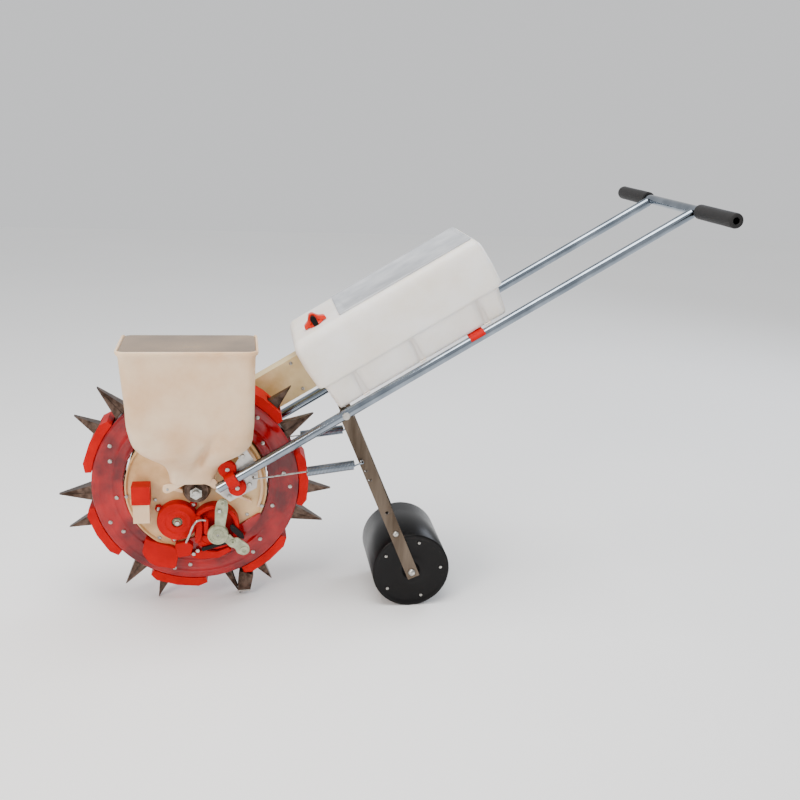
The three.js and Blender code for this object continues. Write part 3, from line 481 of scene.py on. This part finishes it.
def hopper_ring(z, x0, x1, y0, r, inset=0.0, back=-52.0, count=160):
    """One level ring of the hopper wall, moved in by inset; two lobes swell its lower front."""
    a, b = (x1 - x0) / 2 - inset, (back - y0) / 2 - inset
    p = rounded(count, a, b, max(r - inset, 3))
    x = p[:, 0] + (x0 + x1) / 2
    y = p[:, 1] + (y0 + back) / 2
    front = np.clip((back - y - 20) / 60, 0, 1)
    low = math.exp(-((z - 370) / 36) ** 2)
    crease = 2 + 0.42 * (z - 330)
    valley = np.exp(-((x - crease) / 10) ** 2)
    bulge = np.exp(-((x + 46) / 34) ** 2) + 0.9 * np.exp(-((x - 62) / 30) ** 2)
    y = y + front * low * (26 * valley - 9 * bulge)
    x = x + 9 * low * np.sign(x) * np.clip(np.abs(x) / 60 - 0.7, 0, 1)
    return np.stack([x, y, np.full(count, z)], 1)


heights = np.concatenate([np.linspace(292, 440, 44), np.linspace(448, 572, 12)])
rows = rows_at(heights, HOPPER_ROWS)
outer = [hopper_ring(z, *row) for z, row in zip(heights, rows)]
inner = [hopper_ring(z, *row, inset=3.0) for z, row in zip(heights, rows)][3:]
lip = [(576, -129.5, 119.5, -195.5, 18, -50), (578, -132.2, 122.2, -197.4, 19, -48.2),
       (580, -133, 123, -198, 19, -48), (585, -133, 123, -198, 19, -48),
       (586.1, -132, 122, -197.2, 18, -48.4), (586.1, -130, 120, -195, 16, -50),
       (585, -129, 119, -194, 15, -51), (579.2, -129, 119, -194, 15, -52),
       (579.2, -126, 116, -191, 13, -54.6)]
edge = [hopper_ring(z, x0, x1, y0, r, back=back) for z, x0, x1, y0, r, back in lip]
for ring in edge:      # the far side stays low, so that the lid can swing over it
    ring[:, 2] = np.where(ring[:, 1] > -58, np.minimum(ring[:, 2], 579.0), ring[:, 2])
cup = np.array(outer + edge + inner[::-1]) * MM
cup[..., 0] += AXLE[0]
cup[..., 2] += AXLE[2] - AXLE_HEIGHT
hopper_parts = [shell(cup)]
ear = [(-40, 29), (-62, 29), (-64, 14), (-56, 9), (-45, 14), (-32, 22), (-12, 31), (10, 31), (28, 24),
       (38, 18), (44, 30), (36, 40)]
hopper_parts.append(plate(filleted(ear, 7), -98, -93))
hopper_parts.append(plate(filleted([(-46, 33), (34, 33), (34, 78), (-46, 78)], 4), -56, -44.4))
piece("hopper_skin", hopper_parts, CREAM, "frame", ["hopper"], sharp=60)
piece("hopper_ear_screw", [screw(from_axle(-54, -97.8, 18), -SIDE, 3, 1.6)], ZINC, "frame")

# ---- fertilizer box ---------------------------------------------------------------------
FLUTES = (349, 477, 624)      # grooves along the box, millimetres along the tubes
BOX_ROWS = [
    # height above the tube axis, u low, u high, half width, corner radius
    (12.7, 292, 664, 100, 14), (13.4, 290, 666, 102, 15), (15.5, 288.5, 667.5, 104, 16),
    (20, 287, 669, 104.8, 17), (64, 284, 675.5, 106, 18), (66, 283, 677, 106.5, 18),
    (67.5, 279, 681, 108, 19), (69, 274.5, 684.5, 109.4, 20), (71, 272.6, 686, 110, 20),
    (76, 272, 686.4, 110, 20), (113, 269.4, 686.8, 110, 20), (150, 270, 685, 107.6, 19),
    (160, 272, 683, 105, 18), (166, 275, 680, 101.5, 17), (170, 280, 676.5, 97, 16),
    (171.6, 284, 673, 93, 14.5), (172, 289, 669, 89, 13)]


def box_ring(w, u0, u1, half, r, inset=0.0, count=240, groove=True):
    """One ring of the box wall; three rounded flutes pull its lower sides in."""
    p = rounded(count, (u1 - u0) / 2 - inset, half - inset, max(r - 6 - inset, 3))
    u = p[:, 0] + (u0 + u1) / 2
    y = p[:, 1]
    wall = np.full(count, float(w))
    if groove and w < 70:
        flute = sum(np.exp(-((u - c) / 8) ** 2) for c in FLUTES)
        on_side = np.clip((np.abs(y) - half + 30) / 20, 0, 1)
        y = y - np.sign(y) * 5 * flute * on_side * min(1, (70 - w) / 8)
    return on_bar_many(u, y, wall)


def on_bar_many(u, y, w):
    """Points given along, across and square to the tubes, as an array."""
    return BAR + MM * (u[:, None] * ALONG + y[:, None] * SIDE + w[:, None] * SQUARE)


box_outer = [box_ring(*row) for row in BOX_ROWS]
mouth = [(172, 392, 662, 74, 10), (168.9, 392, 662, 74, 10)]
box_edge = [box_ring(*row) for row in mouth]
box_inner = [box_ring(*row, inset=3.2, groove=False) for row in BOX_ROWS[2:14]][::-1]
piece("fertilizer_box_skin", [shell(np.array(box_outer + box_edge + box_inner))], WHITE, "frame",
      ["fertilizer_box"], sharp=70)


def across(outline, u0, u1):
    """An outline in Y and height above the tube axis pushed along the tubes, in millimetres."""
    o = np.asarray(outline, float)
    return shell(np.array([BAR + MM * (u * ALONG + o[:, :1] * SIDE + o[:, 1:] * SQUARE)
                           for u in (u0, u1)]))


# small feet under the flutes, and the red saddle over the top of each tube
SADDLE = (577, 609)
feet = []
for u in FLUTES:
    for s in (-1, 1):
        foot = [(s * 92, 12.9), (s * 92, 10.6), (s * 104.4, 10.6), (s * 104.4, 15)]
        feet.append(across(filleted(foot, 1), u - 7, u + 7))
piece("box_feet", feet, WHITE, "frame", bevel=0.0008)
for side, s in (("near", -1), ("far", 1)):
    over = arc(12, 8, 172, 28, s * TUBE_Y)
    under = arc(10.3, 172, 8, 28, s * TUBE_Y)
    web = [(s * 88, 10.8), (s * 106, 10.8), (s * 106, 12.2), (s * 88, 12.2)]
    piece(f"box_saddle_skin_{side}", [across(np.vstack([over, under]), *SADDLE), across(web, *SADDLE)],
          RED, "frame", [f"box_saddle_{side}"], bevel=0.0004)


def slab_rings(rows, sides=120):
    """Rings of a rounded plate lying square to the tubes."""
    return np.array([box_ring(w, u0, u1, h, r, groove=False, count=sides) for w, u0, u1, h, r in rows])


piece("box_lid_skin", [shell(slab_rings([
    (172.3, 382, 672, 84, 10), (172.3, 380, 674, 86, 12), (174.6, 380, 674, 86, 12),
    (175.3, 381, 673, 85, 11), (175.3, 386, 668, 80, 9), (174.4, 388, 666, 78, 8)]))],
    FILM, "box_lid_body", ["box_lid"], sharp=50)


# ---- hopper lid ---------------------------------------------------------------------------
def level_ring(z, x0, x1, y0, y1, r, count=96):
    """A level rounded rectangle, millimetres from the axle in X and from the ground in Z."""
    p = rounded(count, (x1 - x0) / 2, (y1 - y0) / 2, r)
    out = np.stack([p[:, 0] + (x0 + x1) / 2, p[:, 1] + (y0 + y1) / 2, np.full(count, float(z))], 1) * MM
    out[:, 0] += AXLE[0]
    out[:, 2] += AXLE[2] - AXLE_HEIGHT
    return out


lid = [(579.3, -128.2, 118.2, -193.2, -48.6), (579.6, -128.4, 118.4, -193.4, -48.4),
       (582.6, -128.4, 118.4, -193.4, -48.4), (582.9, -127.8, 117.8, -192.8, -49),
       (582.9, -122, 112, -187, -55)]
piece("hopper_lid_skin", [shell(np.array([level_ring(z, a, b, c, d, 13) for z, a, b, c, d in lid]))],
      SMOKE, "hopper_lid_body", ["hopper_lid"], sharp=20)

# ---- springs: close wound coils over the tie wires -----------------------------------------
for side, s in (("near", -1), ("far", 1)):
    wire_lo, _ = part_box(f"tie_wire_{side}")
    anchor = np.array([wire_lo[0] + 0.0016, s * 0.111, wire_lo[2] + 0.0018])
    pivot = pivot_of(f"spring_{side}_swing")
    hole = np.array([pivot[0], s * 0.111, pivot[2]])
    line = anchor - hole
    line /= np.linalg.norm(line)
    d, e, f = axes_of(line)
    turns, wire_r, coil_r = 34, 1.45 * MM, 8.5 * MM
    t = np.linspace(0, 1, turns * 20 + 1)
    helix = hole + (18 * MM + t * 95 * MM)[:, None] * d + coil_r * (
        np.cos(2 * np.pi * turns * t)[:, None] * e + np.sin(2 * np.pi * turns * t)[:, None] * f)
    hook = smooth_path([hole + 18.5 * MM * d + coil_r * e, hole + 15 * MM * d + 4 * MM * e,
                        hole + 8 * MM * d, hole + 2 * MM * d, hole - 0.5 * MM * d - s * 2 * MM * SIDE,
                        hole - s * 8 * MM * SIDE, hole - s * 16 * MM * SIDE])
    piece(f"spring_coil_{side}", [carried(helix, wire_r, 8), carried(hook, 1.5 * MM, 12)], CHROME,
          f"spring_{side}_body", [f"spring_{side}"])

# ---- metering cover, drive cover and lever --------------------------------------------------
METER = from_axle(-39, 0, -66.4)
cover = [(10.6, 62.4), (10.6, 66.4), (12, 67.2), (15, 67.2), (17, 66), (24, 66), (25, 66.8), (27, 66.8),
         (28, 66), (36, 66), (39.5, 65), (41, 62), (41, 45), (40, 44.4), (38.4, 44.4), (38.4, 61)]
parts = [turned(cover, METER, -SIDE, 72)]
for a in (44, 147, 261):
    c = METER + MM * 44.5 * np.array([math.cos(math.radians(a)), 0, math.sin(math.radians(a))])
    parts.append(turned([(2, 44.6), (7.2, 44.6), (7.2, 51), (6.4, 52), (2.4, 52)], c, -SIDE, 24))
piece("metering_cover_skin", parts, RED, "frame", ["metering_cover"], sharp=40)
heads = [screw(METER + MM * np.array([44.5 * math.cos(math.radians(a)), -52,
                                      44.5 * math.sin(math.radians(a))]), -SIDE, 4.4, 2.6)
         for a in (44, 147, 261)]
piece("cover_screws", heads, ZINC, "frame")
piece("metering_bolt", [hexagon(METER - 0.0692 * SIDE, -SIDE, 9, 5)], ZINC, "metering_shaft")

# outer ring of the drive cover, with its bridge and the black stop strips
piece("drive_cover_skin", [
    plate(np.vstack([arc(48, -152, 150, 60, 37, -78), arc(42.8, 12, -40, 24, -39, -66.4)]), -60, -44.4),
    plate(np.vstack([arc(48, -140, 142, 60, 37, -78), arc(39.5, 142, -140, 50, 37, -78)]), -71, -59),
    plate(filleted([(-2, -52), (8, -50), (12, -72), (10, -96), (2, -112), (-5, -108), (-2, -84)], 5),
          -76, -58),
    plate(filleted([(14, -56), (19, -52), (24, -60), (22, -92), (14, -88)], 3), -80, -70),
    plate(filleted([(2, -98), (20, -96), (40, -108), (62, -112), (60, -122), (20, -124), (2, -120)], 5),
          -70, -50)], RED, "frame", ["drive_cover"], bevel=0.001)
rear_strip = [(66, -74), (72, -70), (93, -92), (95, -104), (86, -102), (68, -84)]
piece("stop_strips", [plate(filleted(rear_strip, 3), -76.6, -71.6),
                      plate(filleted([(8, -121), (60, -106), (63, -113), (10, -129)], 3), -76.6, -70)],
      BLACK, "frame", bevel=0.0006)

# feed lever: round face with rings, an upper arm with a nut, a ribbed lower arm with an eye
lever_parts = [turned([(0.1, 74), (21, 74), (21, 83), (20, 85), (17.5, 85.6), (17, 84.4), (12.5, 84.2),
                       (12, 85.4), (11, 85.4), (10.4, 84), (5.2, 84), (4.8, 86), (3.4, 86), (3, 84.4),
                       (0.1, 84.4)], from_axle(42, 0, -90), -SIDE, 64, closed=False)]
lever_parts.append(plate(filleted([(36, -74), (37, -34), (42, -16), (52, -11), (62, -16), (63, -34),
                                   (58, -62), (56, -78)], 6), -82, -77.5))
lower_arm = [(54, -80), (60, -92), (66, -90), (74, -100), (82, -98), (104, -116), (106, -130), (94, -138),
             (80, -132), (76, -120), (66, -118), (56, -106), (44, -104)]
lever_parts.append(plate(filleted(lower_arm, 5), -82, -77.5))
for x, z, rr in ((95, -126, 9), (72, -106, 5), (52, -20, 6)):
    lever_parts.append(turned([(rr * 0.45, 82), (rr * 0.45, 84.4), (rr * 0.7, 85), (rr, 84.4), (rr, 82)],
                              from_axle(x, 0, z), -SIDE, 28))
piece("feed_lever_skin", lever_parts, ACETAL, "feed_lever_body", ["feed_lever"],
      sharp=40)
piece("lever_fixings", [hexagon(from_axle(46, -82, -37), -SIDE, 8, 4),
                        screw(from_axle(42, -84.2, -90), -SIDE, 2.6, 1.4)], ZINC, "feed_lever_body")

# the bent rod that trips the seed gate, its two bolts, and the red gate housing
rod_path = smooth_path([from_axle(x, y, z) for x, y, z in (
    (18, -80, -58), (10, -82, -56), (2, -84, -57), (-4, -84, -63), (-9, -83, -73), (-15, -80, -90),
    (-22, -74, -108))], 8)
piece("gate_rod", [carried(rod_path, 2.4 * MM, 14)], ZINC, "frame")
piece("gate_bolts", [hexagon(from_axle(0, -57, -134), -SIDE, 8, 5),
                     hexagon(from_axle(-8, -57, -141), -SIDE, 8, 5),
                     screw(from_axle(-28, -58, -122), -SIDE, 3, 2)], ZINC, "frame")
piece("gate_housing", [
    plate(filleted([(-104, -104), (-92, -112), (-44, -128), (-40, -150), (-46, -176), (-84, -168),
                    (-98, -160), (-112, -138)], 6), -56, -42),
    plate(filleted([(-46, -118), (-20, -112), (-8, -122), (-14, -144), (-40, -148)], 5), -62, -50),
    plate(filleted([(-12, -138), (12, -134), (40, -138), (62, -128), (70, -136), (44, -152), (4, -154),
                    (-14, -148)], 4), -60, -46)], RED, "frame", bevel=0.001)

# guard over the lower right of the hub, in the wheel's clear red
inner_edge = [(-52, -132), (-20, -112), (4, -104), (60, -112), (84, -84), (101, -73), (128, -56)]
piece("hub_guard", [plate(np.vstack([arc(143.4, -26, -112, 40), inner_edge]), -52.2, -44.4)],
    DISC_RED_PAINTED_GLOW, "frame", bevel=0.0008)

# rim screws of the hub and the ribs behind them
hub_screws = [(-138, -14), (-83, -25), (-77, -109), (-118, -62), (131, -42), (101, -62), (118, 30)]
piece("hub_screws", [screw(from_axle(x, -45.2 if math.hypot(x, z) < 135 else -50.2, z), -SIDE, 4, 2.4)
                     for x, z in hub_screws], ZINC, "frame")
front_rib = [(-52, 8), (-30, 2), (-16, -8), (-14, -12), (-34, -4), (-58, 2)]
rear_rib = [(20, 6), (34, 0), (66, -12), (108, -34), (112, -30), (68, -6), (36, 6)]
piece("hub_ribs", [plate(filleted(front_rib, 3), -58, -44.3), plate(filleted(rear_rib, 3), -54, -44.3),
                   plate(np.vstack([arc(134, -20, 62, 30), arc(129, 62, -20, 30)]), -48.6, -44.2)],
      CREAM, "frame", bevel=0.0008)
recess = [(14, 62), (16, 66), (24, 66), (27, 60), (30, 46), (30, 44.3), (14, 44.3)]
piece("axle_recess", [turned(recess, AXLE, -SIDE, 48)], BEAK, "frame")

# pipe clamp: two round ears with screws each side of the tube, and the plate's bolts
ear_parts = []
for x, z in ((63, 61), (82, 22)):
    ear_parts.append(turned([(0.1, 100), (18, 100), (18, 106.5), (16.5, 108.4), (0.1, 108.6)],
                            from_axle(x, 0, z), -SIDE, 40, closed=False))
piece("clamp_ears", ear_parts, RED, "frame")
piece("clamp_screws", [screw(from_axle(63, -108.4, 61), -SIDE, 4.6, 2.6),
                       screw(from_axle(82, -108.4, 22), -SIDE, 4.6, 2.6),
                       hexagon(from_axle(106, -99.7, 26), -SIDE, 8, 4),
                       hexagon(from_axle(66, -99.7, 1), -SIDE, 8, 4),
                       hexagon(from_axle(93, -99.7, 86), -SIDE, 8, 4)], ZINC, "frame")

# open beak: a wide hollow blade with a blunt end, hanging from the jaw's hinge
blade = [(85, -207), (114, -217), (107, -254), (80, -255)]
edge = [(114, -217), (107, -254), (104.6, -254), (111.4, -216)]
lips = [(107, -254), (80, -255), (80.4, -251.5), (107.4, -250.5)]
piece("open_jaw_skin", [plate(blade, -15, -13), plate(blade, 13, 15), plate(edge, -13, 13)], BEAK,
      "jaw_body_1", ["jaw_1"], bevel=0.0006)
piece("open_jaw_lip", [plate(lips, -15.6, -15)], ZINC, "jaw_body_1")


# leg bolts
LEG_DOWN = (ROLLER - pivot_of("fork_swing")) * np.array([1, 0, 1])
LEG_DOWN /= np.linalg.norm(LEG_DOWN)
bolts = [turned([(0.1, 0), (6.4, 0), (6.2, 1.6), (4.6, 3.4), (2.2, 4.4), (0.1, 4.6)],
                ROLLER * np.array([1, 0, 1]) - 0.097 * LEG_DOWN + s * 0.0981 * SIDE, s * SIDE, 28,
                closed=False) for s in (-1, 1)]
bolts += [turned([(0.1, 0), (8, 0), (7.6, 2), (5.6, 4.4), (2.6, 5.8), (0.1, 6)],
                 ROLLER * np.array([1, 0, 1]) + s * 0.0982 * SIDE, s * SIDE, 32, closed=False)
          for s in (-1, 1)]
piece("leg_bolts", bolts, ZINC, "fork", ["roller_axle"])

# dosing knob: a round foot, roof shaped wings and a black lever through it
KNOB = on_bar(331, -48, 172)


def bar_slab(outline, y0, y1, origin):
    """An outline along and square to the tubes pushed across them, in millimetres."""
    o = np.asarray(outline, float)
    return shell(np.array([origin + MM * (o[:, :1] * ALONG + o[:, 1:] * SQUARE + y * SIDE)
                           for y in (y0, y1)]))


wings = filleted([(-24, 1), (-23, 9), (-12, 14), (-4, 25), (4, 25), (12, 14), (23, 9), (24, 1), (12, 3),
                  (6, 9), (-6, 9), (-12, 3)], 3)
knob_foot = [(0.1, 0.4), (16, 0.4), (16, 3), (14, 5), (10, 5.6), (9, 11), (0.1, 12)]
piece("knob_skin", [turned(knob_foot, KNOB, SQUARE, 40, closed=False), bar_slab(wings, -7, 7, KNOB)],
      KNOB_RED, "knob_body", ["dosing_knob"], bevel=0.001)
finger = [(-5, 1), (-6, 16), (-2, 22), (3, 22), (6, 16), (5, 1)]
piece("knob_lever", [bar_slab(filleted(finger, 2), -17, -7.4, KNOB)],
      BLACK, "knob_body", bevel=0.001)

# two screws on the near side of the chute
piece("chute_screws", [screw(from_axle(194, 51.4, 235), -SIDE, 4, 2.4),
                       screw(from_axle(220, 51.4, 180), -SIDE, 4, 2.4)], ZINC, "frame")

# ---- floor, light ---------------------------------------------------------------------------
floor_mesh = bpy.data.meshes.new("floor")
floor_mesh.from_pydata([(-6, -6, 0), (6, -6, 0), (6, 6, 0), (-6, 6, 0)], [], [(0, 1, 2, 3)])
floor_mesh.materials.append(material("pale studio floor", ("#fbfbfa", "#fdfdfc"), 0.7, scale_mm=900))
floor = bpy.data.objects.new("floor", floor_mesh)
bpy.context.scene.collection.objects.link(floor)


def lamp(name, place, aim, size, power, colour="#ffffff"):
    """A square soft light at a place, turned towards a point."""
    data = bpy.data.lights.new(name, "AREA")
    data.shape, data.size, data.energy = "SQUARE", size, power
    data.color = linear(colour)[:3]
    thing = bpy.data.objects.new(name, data)
    back = np.array(place, float) - np.array(aim, float)
    d, e, f = axes_of(back)
    matrix = np.eye(4)
    matrix[:3, 0], matrix[:3, 1], matrix[:3, 2], matrix[:3, 3] = e, f, d, place
    bpy.context.scene.collection.objects.link(thing)
    thing.matrix_world = Matrix(matrix.tolist())


lamp("overhead", (-0.3, -0.5, 2.8), (0, 0, 0.3), 1.6, 72)
lamp("front left", (-2.0, -2.2, 1.7), (-0.2, 0, 0.3), 1.0, 52, "#fff4ea")
lamp("rear right", (2.2, 1.6, 2.0), (0, 0, 0.4), 1.2, 30, "#e8f0ff")
world = bpy.data.worlds.new("studio")
world.use_nodes = True
world.node_tree.nodes["Background"].inputs["Color"].default_value = linear("#f7f8fa")
world.node_tree.nodes["Background"].inputs["Strength"].default_value = 0.88
bpy.context.scene.world = world
